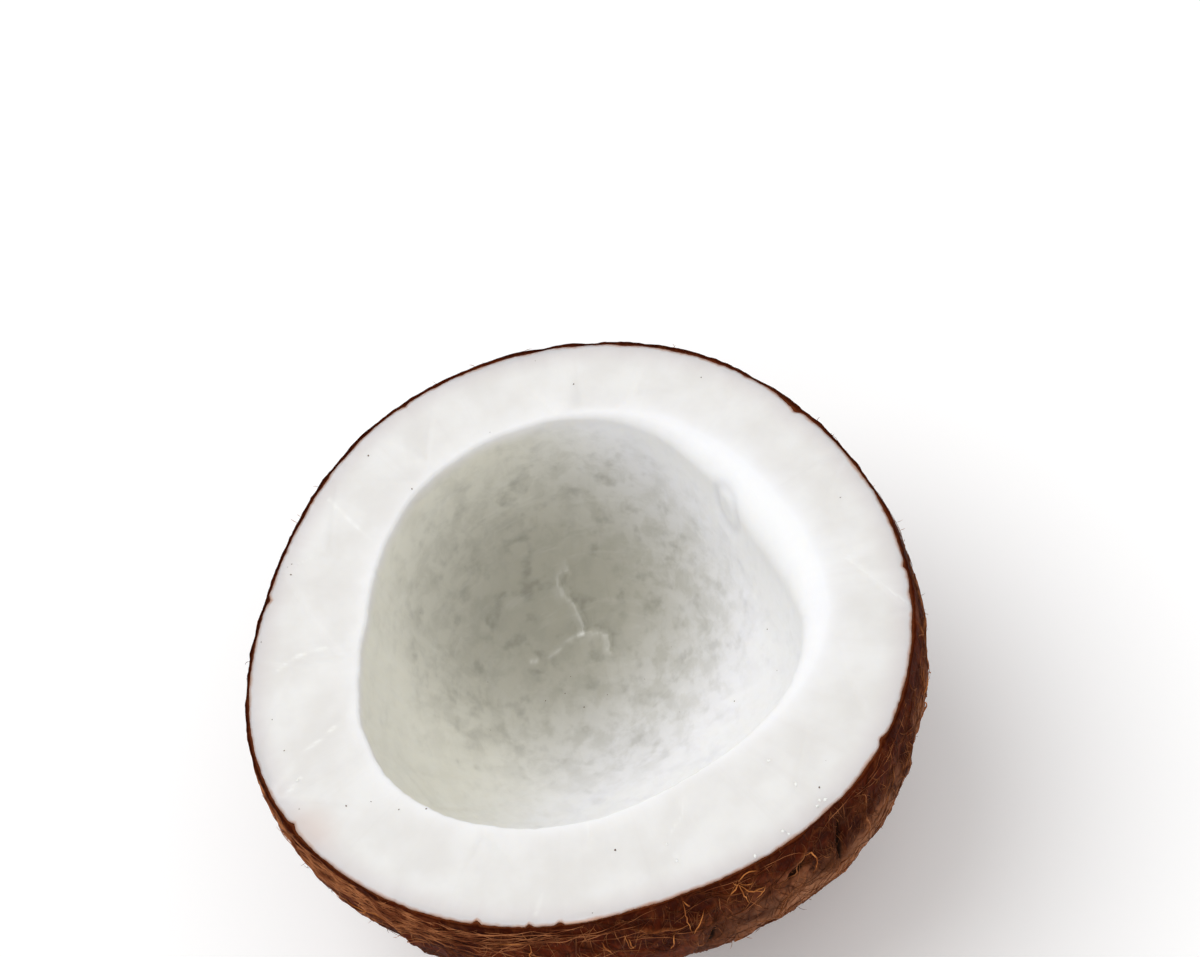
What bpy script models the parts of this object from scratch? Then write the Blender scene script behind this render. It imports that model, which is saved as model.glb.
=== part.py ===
"""Half of a round coconut kernel, cut level across its middle and resting on its rounded end.

Two pieces: the thick white flesh, hollow inside, and the thin brown skin that covers its outside.
Metres, +Z up. The origin is the middle of the small flat spot that the half rests on, and the cut
face is level at the top. The shape is built with its cut face at z = 0 and then raised.
Run with: blender --background --python part.py
"""

import math

import bmesh
import bpy
from mathutils import Matrix, Vector, noise

# Driving dimensions of the outside
RIM_RADIUS = 0.0508  # mean radius of the brown edge at the cut
BELLY_DROP = 0.0070  # the widest part lies this far below the cut
BELLY_DEPTH = 0.0465  # from the widest part down to the pole
REST_FLAT = 0.0004  # how much of the pole is flattened where the half rests
BELLY_LEAN = 0.0012  # the body leans out by this much, halfway down
BELLY_LEAN_SIDE = math.radians(-58)

# Driving dimensions of the layers
SKIN_THICKNESS = 0.0014
LAYER_GAP = 0.0003
CAVITY_RADIUS = 0.0355  # mean radius of the hollow at the cut
CAVITY_DEPTH = 0.039
EDGE_ROUND_SMALL = 0.0006  # rounding of the hollow's edge on its sharp side
EDGE_ROUND_LARGE = 0.0060  # and on its soft side
EDGE_SOFT_SIDE = math.radians(5)
EDGE_SOFT_POWER = 3  # how quickly the soft side turns sharp again to its left and right
EDGE_INWARD = 0.7  # share of the rounding that is taken from the wall, not from the cut face
CAVITY_SIDE_TAPER = 0.35  # how much more the hollow's wall slopes on its near side
CAVITY_NEAR_SIDE = math.radians(-70)
CAVITY_SWELL = 0.0006  # low, broad unevenness of the hollow's wall
CAVITY_SWELL_PITCH = 90  # its noise units in a metre

# Out-of-round lobes, as (waves round the half, amplitude, direction of a crest)
RIM_LOBES = (
    (2, 0.00025, math.radians(-8)),
    (3, 0.00124, math.radians(-39)),
    (4, 0.00019, math.radians(29)),
    (5, 0.00022, math.radians(35)),
    (6, 0.00019, math.radians(-3)),
)
CAVITY_LOBES = (
    (1, 0.00127, math.radians(56)),
    (2, 0.00061, math.radians(43)),
    (3, 0.00163, math.radians(-31)),
    (4, 0.00029, math.radians(-43)),
    (5, 0.00047, math.radians(-25)),
)

# Relief of the skin: wrinkles that run from the pole to the cut, and a few long furrows
WRINKLE_HEIGHT = 0.0005
WRINKLE_SINK = 0.25  # lowers the wrinkles, as a share of their height
WRINKLE_TURNS = 4.2  # noise units from the axis: sets how many wrinkles go round
WRINKLE_LENGTHS = 3.0  # noise units from the cut to the pole
WRINKLE_BEND = 1.1
WRINKLE_SEED = 1  # which way the wrinkles bend: without it, each run bends them anew
WRINKLE_SHARPNESS = 3.4  # how narrow the raised wrinkles are against the hollows between them
WRINKLE_FINE = (0.4, 1.9)  # share and relative pitch of the finer unevenness
WRINKLE_AT_CUT = 0.45  # share of the relief that is left at the cut edge
WRINKLE_FULL = 0.12  # share of the way down by which the relief is full
SMOOTH_END = (0.83, 0.93)  # and between these shares it fades out to the flat spot
FURROW_DEPTH = 0.0006
FURROW_HALF_WIDTH = 0.0016
FURROW_BEND = 0.26  # sideways wander of a furrow, in radians
FURROW_BEND_PITCH = 3.1  # noise units of that wander from the cut to the pole
FURROW_NOISE_STEP = 7.3  # noise units from one furrow to the next, so that no two wander alike
FURROW_RUN_IN = 0.12  # a furrow fades in and out over about this share of the way
FURROWS = (
    # direction at the cut in degrees, share of the way to the pole where it starts and ends
    (-84, 0.00, 0.62),
    (-38, 0.18, 0.90),
    (14, 0.00, 0.55),
    (58, 0.10, 0.86),
    (103, 0.00, 0.48),
    (149, 0.22, 0.92),
    (186, 0.00, 0.70),
    (232, 0.12, 0.80),
)

# Number of faces round each piece, and of rings from the cut to the pole
SKIN_AROUND = 128
SKIN_RINGS = 34
FLESH_AROUND = 60
LAYER_RINGS = 12
CAVITY_RINGS = 13
EDGE_RINGS = 4

HEIGHT = BELLY_DROP + BELLY_DEPTH - REST_FLAT


def lobed(mean, lobes, angle):
    """The radius at this angle of an outline with a few lobes round it."""
    return mean + sum(high * math.cos(waves * (angle - crest)) for waves, high, crest in lobes)


def outside_point(angle, share, inset=0.0):
    """A point of the outside, moved in by inset: share is 0 at the cut and 1 at the pole.
    Also returns the direction straight out of the surface."""
    depth = BELLY_DEPTH - inset
    cut_slope = -math.asin(BELLY_DROP / depth)
    outer_cut_slope = -math.asin(BELLY_DROP / BELLY_DEPTH)
    belly = lobed(RIM_RADIUS, RIM_LOBES, angle) / math.cos(outer_cut_slope) - inset
    slope = cut_slope + share * (math.pi / 2 - cut_slope)
    across = Vector((math.cos(angle), math.sin(angle), 0))
    point = across * belly * math.cos(slope)
    point.z = -BELLY_DROP - depth * math.sin(slope)
    lean = BELLY_LEAN * max(0.0, math.sin(2 * slope))
    point += lean * Vector((math.cos(BELLY_LEAN_SIDE), math.sin(BELLY_LEAN_SIDE), 0))
    out = across * math.cos(slope) + Vector((0, 0, -math.sin(slope)))
    return point, out.normalized()


def furrow_depth(angle, share):
    """How deep the nearest furrow is here, as a share of the full depth."""
    deepest = 0.0
    for number, (degrees, start, end) in enumerate(FURROWS):
        if not start <= share <= end:
            continue
        row = Vector((share * FURROW_BEND_PITCH, number * FURROW_NOISE_STEP, 0.5))
        wander = FURROW_BEND * noise.noise(row)
        turn = math.remainder(angle - math.radians(degrees) - wander, math.tau)
        girth = RIM_RADIUS * math.cos(share * math.pi / 2)
        aside = turn * girth / FURROW_HALF_WIDTH
        along = (share - start + FURROW_RUN_IN) / (end - start + FURROW_RUN_IN)
        taper = math.sin(math.pi * along)
        deepest = max(deepest, taper * math.exp(-aside * aside))
    return deepest


def wrinkle(angle, share):
    """The height of the wrinkled surface here, from about -1 to 1."""
    place = Vector(
        (
            WRINKLE_TURNS * math.cos(angle),
            WRINKLE_TURNS * math.sin(angle),
            WRINKLE_LENGTHS * share,
        )
    )
    place += WRINKLE_BEND * noise.noise_vector(place * 0.5)
    ridge = 1 - WRINKLE_SHARPNESS * abs(noise.noise(place))
    fine, pitch = WRINKLE_FINE
    return 0.75 * ridge + fine * noise.noise(place * pitch)


def skin_point(angle, share):
    """A point of the wrinkled outer surface, flattened where the half rests."""
    point, out = outside_point(angle, share)
    start, end = SMOOTH_END
    fade = min(1.0, WRINKLE_AT_CUT + (1 - WRINKLE_AT_CUT) * share / WRINKLE_FULL)
    fade *= max(0.0, min(1.0, (end - share) / (end - start)))
    relief = WRINKLE_HEIGHT * (wrinkle(angle, share) - WRINKLE_SINK)
    relief -= FURROW_DEPTH * furrow_depth(angle, share)
    relief *= fade
    out.z *= min(1.0, share * 10)  # the relief moves the cut edge sideways only, so it stays level
    point += out * relief
    point.z = max(point.z, -HEIGHT)
    return point


def under_skin_point(angle, share):
    return outside_point(angle, share, SKIN_THICKNESS)[0]


def flesh_point(angle, share):
    return outside_point(angle, share, SKIN_THICKNESS + LAYER_GAP)[0]


def edge_round(angle):
    """The radius of the rounding along the hollow's edge: soft on one side and sharp on the other."""
    softness = max(0.0, math.cos(angle - EDGE_SOFT_SIDE)) ** EDGE_SOFT_POWER
    return EDGE_ROUND_SMALL + (EDGE_ROUND_LARGE - EDGE_ROUND_SMALL) * softness


def cavity_point(angle, share):
    """A point of the hollow's wall: share is 0 just under the rounded edge and 1 at the bottom."""
    top = edge_round(angle)
    slope = share * math.pi / 2
    taper = 1 + CAVITY_SIDE_TAPER * max(0.0, math.cos(angle - CAVITY_NEAR_SIDE))
    radius = lobed(CAVITY_RADIUS, CAVITY_LOBES, angle) - EDGE_INWARD * top
    radius *= math.cos(slope) ** taper
    across = Vector((math.cos(angle), math.sin(angle), 0))
    point = across * radius
    point.z = -top - (CAVITY_DEPTH - top) * math.sin(slope)
    swell = noise.noise(point * CAVITY_SWELL_PITCH) * CAVITY_SWELL * min(1.0, share * 4) * (share < 1)
    return point + across * swell * math.cos(slope) - Vector((0, 0, swell * math.sin(slope)))


def edge_point(angle, share):
    """A point of the rounded edge: share is 0 on the cut face and 1 where the wall begins."""
    size = edge_round(angle)
    turn = share * math.pi / 2
    wall = lobed(CAVITY_RADIUS, CAVITY_LOBES, angle) - EDGE_INWARD * size
    radius = wall + size * (1 - math.sin(turn))
    return Vector((radius * math.cos(angle), radius * math.sin(angle), -size * (1 - math.cos(turn))))


def folded_sphere(around, rings):
    """A closed cup made from one sphere. Its rings, from the lowest to the highest, are placed in
    turn by a list of (shape, share): first up the outside, over the cut, then down the inside."""
    mesh = bmesh.new()
    steps = len(rings) - 1
    bmesh.ops.create_uvsphere(mesh, u_segments=around, v_segments=steps, radius=1.0)
    for vert in mesh.verts:
        height = math.asin(max(-1.0, min(1.0, vert.co.z))) / math.pi + 0.5
        shape, share = rings[round(height * steps)]
        vert.co = shape(math.atan2(vert.co.y, vert.co.x), share)
    return mesh


def upward(shape, steps):
    """Rings of a surface from the pole up to the cut."""
    return [(shape, 1 - step / steps) for step in range(steps + 1)]


def downward(shape, steps):
    """Rings of a surface from the cut down to the pole."""
    return [(shape, step / steps) for step in range(steps + 1)]


def finished_object(name, mesh, material, collection):
    """Turns the bmesh into a named object, raised so that the rest spot is at z = 0."""
    bmesh.ops.transform(mesh, matrix=Matrix.Translation((0, 0, HEIGHT)), verts=mesh.verts)
    bmesh.ops.triangulate(mesh, faces=mesh.faces, quad_method="BEAUTY")
    bmesh.ops.recalc_face_normals(mesh, faces=mesh.faces)
    data = bpy.data.meshes.new(name)
    mesh.to_mesh(data)
    mesh.free()
    data.materials.append(material)
    data.shade_smooth()
    data.set_sharp_from_angle(angle=math.radians(35))
    made = bpy.data.objects.new(name, data)
    collection.objects.link(made)
    return made


def plain_material(name, colour, roughness):
    material = bpy.data.materials.new(name)
    material.use_nodes = True
    shader = material.node_tree.nodes["Principled BSDF"]
    shader.inputs["Base Color"].default_value = (*colour, 1)
    shader.inputs["Roughness"].default_value = roughness
    shader.inputs["Metallic"].default_value = 0
    return material


def brown_skin(collection):
    """The thin brown skin: a wrinkled cup whose smooth inside lies against the flesh."""
    rings = upward(skin_point, SKIN_RINGS) + downward(under_skin_point, LAYER_RINGS)
    mesh = folded_sphere(SKIN_AROUND, rings)
    brown = plain_material("brown_skin", (0.156, 0.050, 0.018), 0.75)
    return finished_object("brown_skin", mesh, brown, collection)


def white_flesh(collection):
    """The thick white flesh: a bowl with a level cut face and a smooth hollow."""
    wall = downward(cavity_point, CAVITY_RINGS)[1:]
    rings = upward(flesh_point, LAYER_RINGS) + downward(edge_point, EDGE_RINGS) + wall
    mesh = folded_sphere(FLESH_AROUND, rings)
    white = plain_material("white_flesh", (0.86, 0.85, 0.81), 0.45)
    return finished_object("white_flesh", mesh, white, collection)


def main():
    for old in list(bpy.data.objects):
        bpy.data.objects.remove(old)
    noise.seed_set(WRINKLE_SEED)
    collection = bpy.data.collections.new("coconut_half")
    bpy.context.scene.collection.children.link(collection)
    brown_skin(collection)
    white_flesh(collection)


main()
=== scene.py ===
# %% [markdown]
# # Half of a ripe coconut
# A coconut kernel cut level across its middle: a thick bowl of white flesh in a thin brown skin.
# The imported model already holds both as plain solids. This lesson makes the fine versions of
# them, the fibres that lie on the skin, and the finishes, the light and the camera.

import functools
import math
import random

import bmesh
import bpy
from mathutils import Matrix, Vector, kdtree, noise
from mathutils.bvhtree import BVHTree


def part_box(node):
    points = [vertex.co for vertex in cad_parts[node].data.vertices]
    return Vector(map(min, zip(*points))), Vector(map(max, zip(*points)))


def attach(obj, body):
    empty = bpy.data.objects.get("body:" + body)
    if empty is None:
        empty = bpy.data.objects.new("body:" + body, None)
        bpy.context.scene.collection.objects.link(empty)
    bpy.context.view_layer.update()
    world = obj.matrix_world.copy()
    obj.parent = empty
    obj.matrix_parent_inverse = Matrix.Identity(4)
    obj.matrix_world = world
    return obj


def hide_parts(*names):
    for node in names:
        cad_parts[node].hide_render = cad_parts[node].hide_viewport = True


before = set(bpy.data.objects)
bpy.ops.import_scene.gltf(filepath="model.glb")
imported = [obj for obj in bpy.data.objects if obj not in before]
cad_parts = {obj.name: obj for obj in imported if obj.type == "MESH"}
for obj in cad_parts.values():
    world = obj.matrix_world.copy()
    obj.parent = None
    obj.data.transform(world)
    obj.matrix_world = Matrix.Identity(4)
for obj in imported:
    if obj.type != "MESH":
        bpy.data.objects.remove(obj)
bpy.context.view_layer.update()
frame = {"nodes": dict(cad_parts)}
MM = 0.001
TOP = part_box("brown_skin")[1][2]
UP = Vector((0, 0, 1))
noise.seed_set(1)  # the seed of the solids' wrinkles: without it, each run bends them anew
print("solids:", ", ".join(frame["nodes"]), "| cut face at", round(TOP / MM, 2), "mm")


# %% [markdown]
# ## The outline of the half
# Seen from above, a coconut isn't round: three low lobes run down it, and its hollow is more
# uneven still. Both outlines could be drawn by hand, but a mean radius and a few cosines give the
# same shape, and then one formula serves the skin, the flesh and the fibres alike. The numbers
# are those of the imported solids, so the fine pieces lie where the solids do.

# %% Outline and profile
RIM_RADIUS = 50.8 * MM
BELLY_DROP = 7 * MM  # the widest part lies this far below the cut
BELLY_DEPTH = 46.5 * MM  # from the widest part down to the pole
BELLY_LEAN = 1.2 * MM
BELLY_LEAN_SIDE = math.radians(-58)
CAVITY_RADIUS = 35.5 * MM
CAVITY_DEPTH = 39 * MM
RIM_LOBES = (
    (2, 0.25 * MM, math.radians(-8)),
    (3, 1.24 * MM, math.radians(-39)),
    (4, 0.19 * MM, math.radians(29)),
    (5, 0.22 * MM, math.radians(35)),
    (6, 0.19 * MM, math.radians(-3)),
)
CAVITY_LOBES = (
    (1, 1.27 * MM, math.radians(56)),
    (2, 0.61 * MM, math.radians(43)),
    (3, 1.63 * MM, math.radians(-31)),
    (4, 0.29 * MM, math.radians(-43)),
    (5, 0.47 * MM, math.radians(-25)),
)
SKIN_INSET = 1.4 * MM  # the skin's inside lies this far in from the outside
FLESH_INSET = 1.7 * MM  # and the flesh's outside this far
NEAR_RIGHT = Vector((0.6, -0.8, 0))
CUT_SLOPE = -math.asin(BELLY_DROP / BELLY_DEPTH)
PROFILE_LENGTH = BELLY_DEPTH * (math.pi / 2 - CUT_SLOPE)


def lobed(mean, lobes, angle):
    """The radius at this angle of an outline with a few lobes round it."""
    return mean + sum(high * math.cos(waves * (angle - crest)) for waves, high, crest in lobes)


def outside_point(angle, share, inset=0.0):
    """A point of the smooth outside, and the direction out of it there: share is 0 at the cut
    and 1 at the pole."""
    depth = BELLY_DEPTH - inset
    cut_slope = -math.asin(BELLY_DROP / depth)
    belly = lobed(RIM_RADIUS, RIM_LOBES, angle) / math.cos(CUT_SLOPE) - inset
    slope = cut_slope + share * (math.pi / 2 - cut_slope)
    across = Vector((math.cos(angle), math.sin(angle), 0))
    lean = BELLY_LEAN * max(0.0, math.sin(2 * slope))
    point = across * belly * math.cos(slope)
    point += lean * Vector((math.cos(BELLY_LEAN_SIDE), math.sin(BELLY_LEAN_SIDE), 0))
    point.z = TOP - BELLY_DROP - depth * math.sin(slope)
    out = across * math.cos(slope) - UP * math.sin(slope)
    return point, out.normalized()


def clamp(value, low=0.0, high=1.0):
    return max(low, min(high, value))


print("the cut is", round(2 * RIM_RADIUS / MM), "mm across, its profile", round(PROFILE_LENGTH / MM), "mm")


# %% [markdown]
# ## Wrinkles, cracks and raised veins
# The dried skin is drawn into long wrinkles, split by a few dark cracks, and laced with raised
# veins that branch and run together towards the rounded end. A sculptor would brush these on. Here
# each crack and vein is grown as a line of points that wanders over the outside, and the surface
# is later pushed in or out by how near each of its points lies to a line.

# %% Wrinkles and furrows, as on the solid
WRINKLE_HEIGHT = 0.5 * MM
WRINKLE_TURNS = 4.2  # noise units from the axis: sets how many wrinkles go round
WRINKLE_LENGTHS = 3.0  # noise units from the cut to the pole
WRINKLE_BEND = 1.1
FURROW_DEPTH = 0.6 * MM
FURROW_HALF_WIDTH = 1.6 * MM
FURROWS = (
    (-84, 0.00, 0.62), (-38, 0.18, 0.90), (14, 0.00, 0.55), (58, 0.10, 0.86),
    (103, 0.00, 0.48), (149, 0.22, 0.92), (186, 0.00, 0.70), (232, 0.12, 0.80),
)


def furrow_angle(number, share):
    """The direction of a furrow at this share of the way down."""
    wander = 0.26 * noise.noise(Vector((share * 3.1, number * 7.3, 0.5)))
    return math.radians(FURROWS[number][0]) + wander


def furrow_depth(angle, share):
    """How deep the nearest furrow is here, as a share of the full depth."""
    deepest = 0.0
    for number, (_, start, end) in enumerate(FURROWS):
        if not start <= share <= end:
            continue
        turn = math.remainder(angle - furrow_angle(number, share), math.tau)
        aside = turn * RIM_RADIUS * math.cos(share * math.pi / 2) / FURROW_HALF_WIDTH
        along = (share - start + 0.12) / (end - start + 0.12)
        deepest = max(deepest, math.sin(math.pi * along) * math.exp(-aside * aside))
    return deepest


def wrinkle(angle, share):
    """The height of the wrinkled surface here, from about -1 to 1."""
    turns = WRINKLE_TURNS
    place = Vector((turns * math.cos(angle), turns * math.sin(angle), WRINKLE_LENGTHS * share))
    place += WRINKLE_BEND * noise.noise_vector(place * 0.5)
    ridge = 1 - 3.4 * abs(noise.noise(place))
    return 0.75 * ridge + 0.4 * noise.noise(place * 1.9)


def solid_relief(angle, share):
    """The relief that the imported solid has."""
    fade = min(1.0, 0.45 + 0.55 * share / 0.12) * clamp((0.93 - share) / 0.10)
    raised = WRINKLE_HEIGHT * (wrinkle(angle, share) - 0.25)
    return fade * (raised - FURROW_DEPTH * furrow_depth(angle, share))


# %% Grow the cracks and the veins
LINE_STEP = 0.3 * MM
LOOSE_CRACKS = 16
LARGE_VEINS = 80
SMALL_VEINS = 190


def grow_line(rng, angle, share, heading, length, bend, kink=0.0):
    """A line (angle, share) over the outside: bend makes it curve, kink makes it jump."""
    points = []
    for step in range(int(length / LINE_STEP)):
        girth = max(3 * MM, outside_point(angle, share)[0].xy.length)
        angle += math.cos(heading) * LINE_STEP / girth
        share += math.sin(heading) * LINE_STEP / PROFILE_LENGTH
        heading += rng.gauss(0, bend)
        if rng.random() < 0.06:
            heading += rng.uniform(-kink, kink)
        heading += 0.02 * (math.pi / 2 * (1 if heading > 0 else -1) - heading)
        if not 0.0 <= share <= 0.93:
            break
        points.append((angle, share))
    return points


def traced(waypoints):
    """A line through places given as (degrees, share)."""
    points = []
    for first, second in zip(waypoints, waypoints[1:]):
        for step in range(8):
            degrees, share = (a + (b - a) * step / 8 for a, b in zip(first, second))
            points.append((math.radians(degrees), share))
    return points


def grow_net():
    """Cracks and veins, each as (points, strength)."""
    rng = random.Random(11)
    cracks = [(traced(((-60.5, 0.03), (-61.2, 0.08), (-62.0, 0.11), (-62.8, 0.17), (-62.4, 0.2))), 1.3)]
    for number, (_, start, end) in enumerate(FURROWS):
        start += 0.16  # near the cut only the furrow shows
        steps = int((end - start) * PROFILE_LENGTH / LINE_STEP)
        shares = [start + (end - start) * step / steps for step in range(steps + 1)]
        jag = [0.012 * noise.noise(Vector((share * 40, number, 3))) for share in shares]
        path = [(furrow_angle(number, share) + move, share) for share, move in zip(shares, jag)]
        cracks.append((path, 1.0))
        for _ in range(2):
            angle, share = path[rng.randrange(len(path))]
            heading = math.pi / 2 + rng.choice((-1, 1)) * rng.uniform(0.2, 1.1)
            line = grow_line(rng, angle, share, heading, rng.uniform(6, 16) * MM, 0.05, 0.6)
            cracks.append((line, 0.8))
    for _ in range(LOOSE_CRACKS):
        angle, share = rng.uniform(-math.pi, math.pi), rng.uniform(0.2, 0.8)
        heading = rng.choice((math.pi / 2, -math.pi / 2)) + rng.gauss(0, 0.5)
        line = grow_line(rng, angle, share, heading, rng.uniform(8, 26) * MM, 0.04, 0.7)
        cracks.append(([place for place in line if place[1] > 0.18], 0.8))
    veins = []
    for _ in range(LARGE_VEINS):
        angle, share = rng.uniform(-math.pi, math.pi), rng.uniform(0.55, 0.9)
        heading = -math.pi / 2 + rng.gauss(0, 0.3)
        trunk = grow_line(rng, angle, share, heading, rng.uniform(14, 46) * MM, 0.11)
        veins.append((trunk, rng.uniform(0.5, 1.0)))
        for _ in range(3):
            if len(trunk) > 20:
                angle, share = trunk[rng.randrange(len(trunk))]
                heading = -math.pi / 2 + rng.choice((-1, 1)) * rng.uniform(0.35, 0.9)
                line = grow_line(rng, angle, share, heading, rng.uniform(4, 20) * MM, 0.14)
                veins.append((line, rng.uniform(0.3, 0.7)))
    for _ in range(SMALL_VEINS):
        angle, share = rng.uniform(-math.pi, math.pi), rng.uniform(0.0, 0.85)
        line = grow_line(rng, angle, share, rng.uniform(-math.pi, math.pi), rng.uniform(4, 14) * MM, 0.2)
        veins.append((line, rng.uniform(0.3, 0.8)))
    return cracks, veins


def line_finder(lines):
    """A search tree of the lines' points, and how strong the line is at each."""
    samples = []
    for points, strength in lines:
        for step, (angle, share) in enumerate(points):
            taper = min(1.0, 0.15 + min(step, len(points) - step) / 14)
            samples.append((outside_point(angle, share)[0], strength * taper))
    tree = kdtree.KDTree(len(samples))
    for number, (place, _) in enumerate(samples):
        tree.insert(place, number)
    tree.balance()
    return tree, [strength for _, strength in samples]


cracks, veins = grow_net()
crack_tree, crack_strength = line_finder(cracks)
vein_tree, vein_strength = line_finder(veins)
pits = [(traced(((-68.4, 0.071), (-70.2, 0.096), (-72.8, 0.119))), 2.6)]
pit_tree, pit_strength = line_finder(pits)
print(len(cracks), "cracks and", len(veins), "veins")


# %% [markdown]
# ## A cup from one sheet
# The skin and the flesh are both cups with a closed surface: up the outside, over the cut, and
# down the inside. They could be two bowls bridged along the rim. Rolling one sheet of squares is
# simpler and always closed: its lower rows become the outside, its upper rows are pushed down
# as the inside, its two side edges meet in a seam, and its first and last rows shrink to points.

# %% Roll a sheet into a cup
def rolled_cup(around, rings, layers):
    """A closed cup. Each ring is (shape, share), lowest first. A shape returns the point at an
    angle and share, and a value for each layer."""
    mesh = bmesh.new()
    last = len(rings) - 1
    store = [mesh.verts.layers.float.new(name) for name in layers]
    bmesh.ops.create_grid(mesh, x_segments=around, y_segments=last, size=1.0)
    joined = []
    for vert in mesh.verts:
        column = round((vert.co.x + 1) / 2 * around)
        row = round((vert.co.y + 1) / 2 * last)
        shape, share = rings[row]
        angle = math.tau * (column % around) / around - math.pi
        vert.co, values = shape(angle, share)
        for layer, value in zip(store, values):
            vert[layer] = value
        if column in (0, around) or row in (0, last):
            joined.append(vert)
    bmesh.ops.remove_doubles(mesh, verts=joined, dist=0.0001 * MM)
    bmesh.ops.recalc_face_normals(mesh, faces=mesh.faces)
    return mesh


def finish_piece(name, mesh, finish, *nodes):
    """Makes the bmesh an object in the scene that stands for the given CAD nodes."""
    data = bpy.data.meshes.new(name)
    mesh.to_mesh(data)
    mesh.free()
    data.shade_smooth()
    return place_piece(name, data, finish, *nodes)


def place_piece(name, data, finish, *nodes):
    data.materials.clear()
    data.materials.append(finish)
    piece = bpy.data.objects.new(name, data)
    bpy.context.scene.collection.objects.link(piece)
    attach(piece, "root")
    if nodes:
        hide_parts(*nodes)
    data.calc_loop_triangles()
    print(name, len(data.loop_triangles), "triangles")
    return piece


def steps_down(shape, count, power=1.0):
    """Rings of a surface from its top edge down, closer together at the top if power is over 1."""
    return [(shape, (step / count) ** power) for step in range(count + 1)]


# %% [markdown]
# ## Writing a finish as sums
# A finish is a net of nodes. Placing them by hand is slow to read, so one small class wraps a
# node's output and turns Python's own signs into Math nodes. One method adds any other node.

# %% Helpers for finishes
class Wire:
    """An output of a node. Sums written with it add Math nodes."""

    def __init__(self, finish, socket):
        self.finish = finish
        self.socket = socket

    def maths(self, operation, first, second):
        return self.finish.node("Math", {"operation": operation}, {0: first, 1: second})

    def __add__(self, other):
        return self.maths("ADD", self, other)

    def __radd__(self, other):
        return self.maths("ADD", other, self)

    def __sub__(self, other):
        return self.maths("SUBTRACT", self, other)

    def __rsub__(self, other):
        return self.maths("SUBTRACT", other, self)

    def __mul__(self, other):
        return self.maths("MULTIPLY", self, other)

    def __rmul__(self, other):
        return self.maths("MULTIPLY", other, self)

    def __pow__(self, other):
        return self.maths("POWER", self, other)


class Finish:
    """A material and the nodes behind it."""

    def __init__(self, name):
        self.material = bpy.data.materials.new(name)
        self.material.use_nodes = True
        self.tree = self.material.node_tree
        self.shader = self.tree.nodes["Principled BSDF"]
        self.place = self.node("TexCoord", output="Object")

    def node(self, kind, settings=None, sockets=None, output=0):
        """Adds a node: its settings first, then values or wires for its sockets."""
        made = self.tree.nodes.new("ShaderNode" + kind)
        for name, value in (settings or {}).items():
            setattr(made, name, value)
        for name, value in (sockets or {}).items():
            self.feed(made.inputs[name], value)
        return Wire(self, made.outputs[output])

    def feed(self, socket, value):
        if isinstance(value, Wire):
            self.tree.links.new(value.socket, socket)
        else:
            socket.default_value = value

    def set(self, **values):
        """Sets the shader's own sockets: Base_Color=..., Roughness=..."""
        for name, value in values.items():
            self.feed(self.shader.inputs[name.replace("_", " ")], value)

    def layer(self, name):
        """A value that the mesh carries at its points."""
        return self.node("Attribute", {"attribute_name": name}, output="Fac")

    def stretched(self, wide, deep, place=None):
        """The place on the half, squeezed so that patterns stretch along one way."""
        scale = {"Scale": (wide, wide, deep)}
        return self.node("Mapping", {"vector_type": "POINT"}, {"Vector": place or self.place, **scale})

    def cloud(self, size, detail=2.0, rough=0.5, place=None, twist=0.0):
        """Noise from 0 to 1 with blotches of about this size in metres."""
        sockets = {"Vector": place or self.place, "Scale": 1 / size, "Detail": detail}
        sockets.update({"Roughness": rough, "Distortion": twist})
        return self.node("TexNoise", None, sockets)

    def ramp(self, value, low, high):
        """0 under low, 1 over high, and smooth between."""
        sockets = {"Value": value, "From Min": low, "From Max": high}
        return self.node("MapRange", {"interpolation_type": "SMOOTHSTEP"}, sockets)

    def mix(self, factor, first, second):
        """A colour between two colours."""
        sockets = {0: factor, 6: first, 7: second}
        return self.node("Mix", {"data_type": "RGBA"}, sockets, output=2)

    def bump(self, height, depth, strength=1.0):
        """Surface unevenness: height from 0 to 1 stands for this depth in metres."""
        sockets = {"Height": height, "Distance": depth, "Strength": strength}
        self.set(Normal=self.node("Bump", None, sockets))


def tint(red, green, blue):
    """A colour as it looks on a screen, 0 to 255, as the linear colour that a shader takes."""
    def linear(value):
        value /= 255
        return value / 12.92 if value <= 0.04045 else ((value + 0.055) / 1.055) ** 2.4
    return (linear(red), linear(green), linear(blue), 1.0)


# %% [markdown]
# ## The brown skin
# The skin is a leathery layer half a millimetre thick at the cut, with reddish wrinkles, tan veins
# and black cracks. Bump alone could fake its relief, but then its outline would stay smooth from
# every side, so the mesh itself carries all that is wider than a millimetre: the wrinkles, the
# cracks, the veins and a net of small folds between them. Each point also keeps how much of a
# crack and of a vein it is, for the finish to colour.

# %% Shape of the skin
SKIN_AROUND = 610
RIM_THICKNESS = 0.5 * MM
CRACK_HALF_WIDTH = 0.48 * MM
CRACK_DEPTH = 0.8 * MM
VEIN_HALF_WIDTH = 0.5 * MM
VEIN_HEIGHT = 0.36 * MM
FOLD_HEIGHT = 0.28 * MM
PIT_HALF_WIDTH = 0.85 * MM
# Nicks and swellings of the flesh's edge: direction in degrees, half width in degrees, height in mm
NICKS = (
    (-124.7, 0.5, -0.7), (-115.7, 0.4, -0.6), (-106.0, 4.5, 0.35), (-110.5, 0.6, -0.5),
    (-46.9, 0.9, -0.45), (25.2, 0.8, -0.8), (27.0, 1.2, -0.35), (62.0, 1.6, -0.3),
    (-14.0, 0.6, -0.4), (151.0, 0.7, -0.4), (-163.0, 0.6, -0.5), (104.0, 0.5, -0.4),
)


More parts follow.
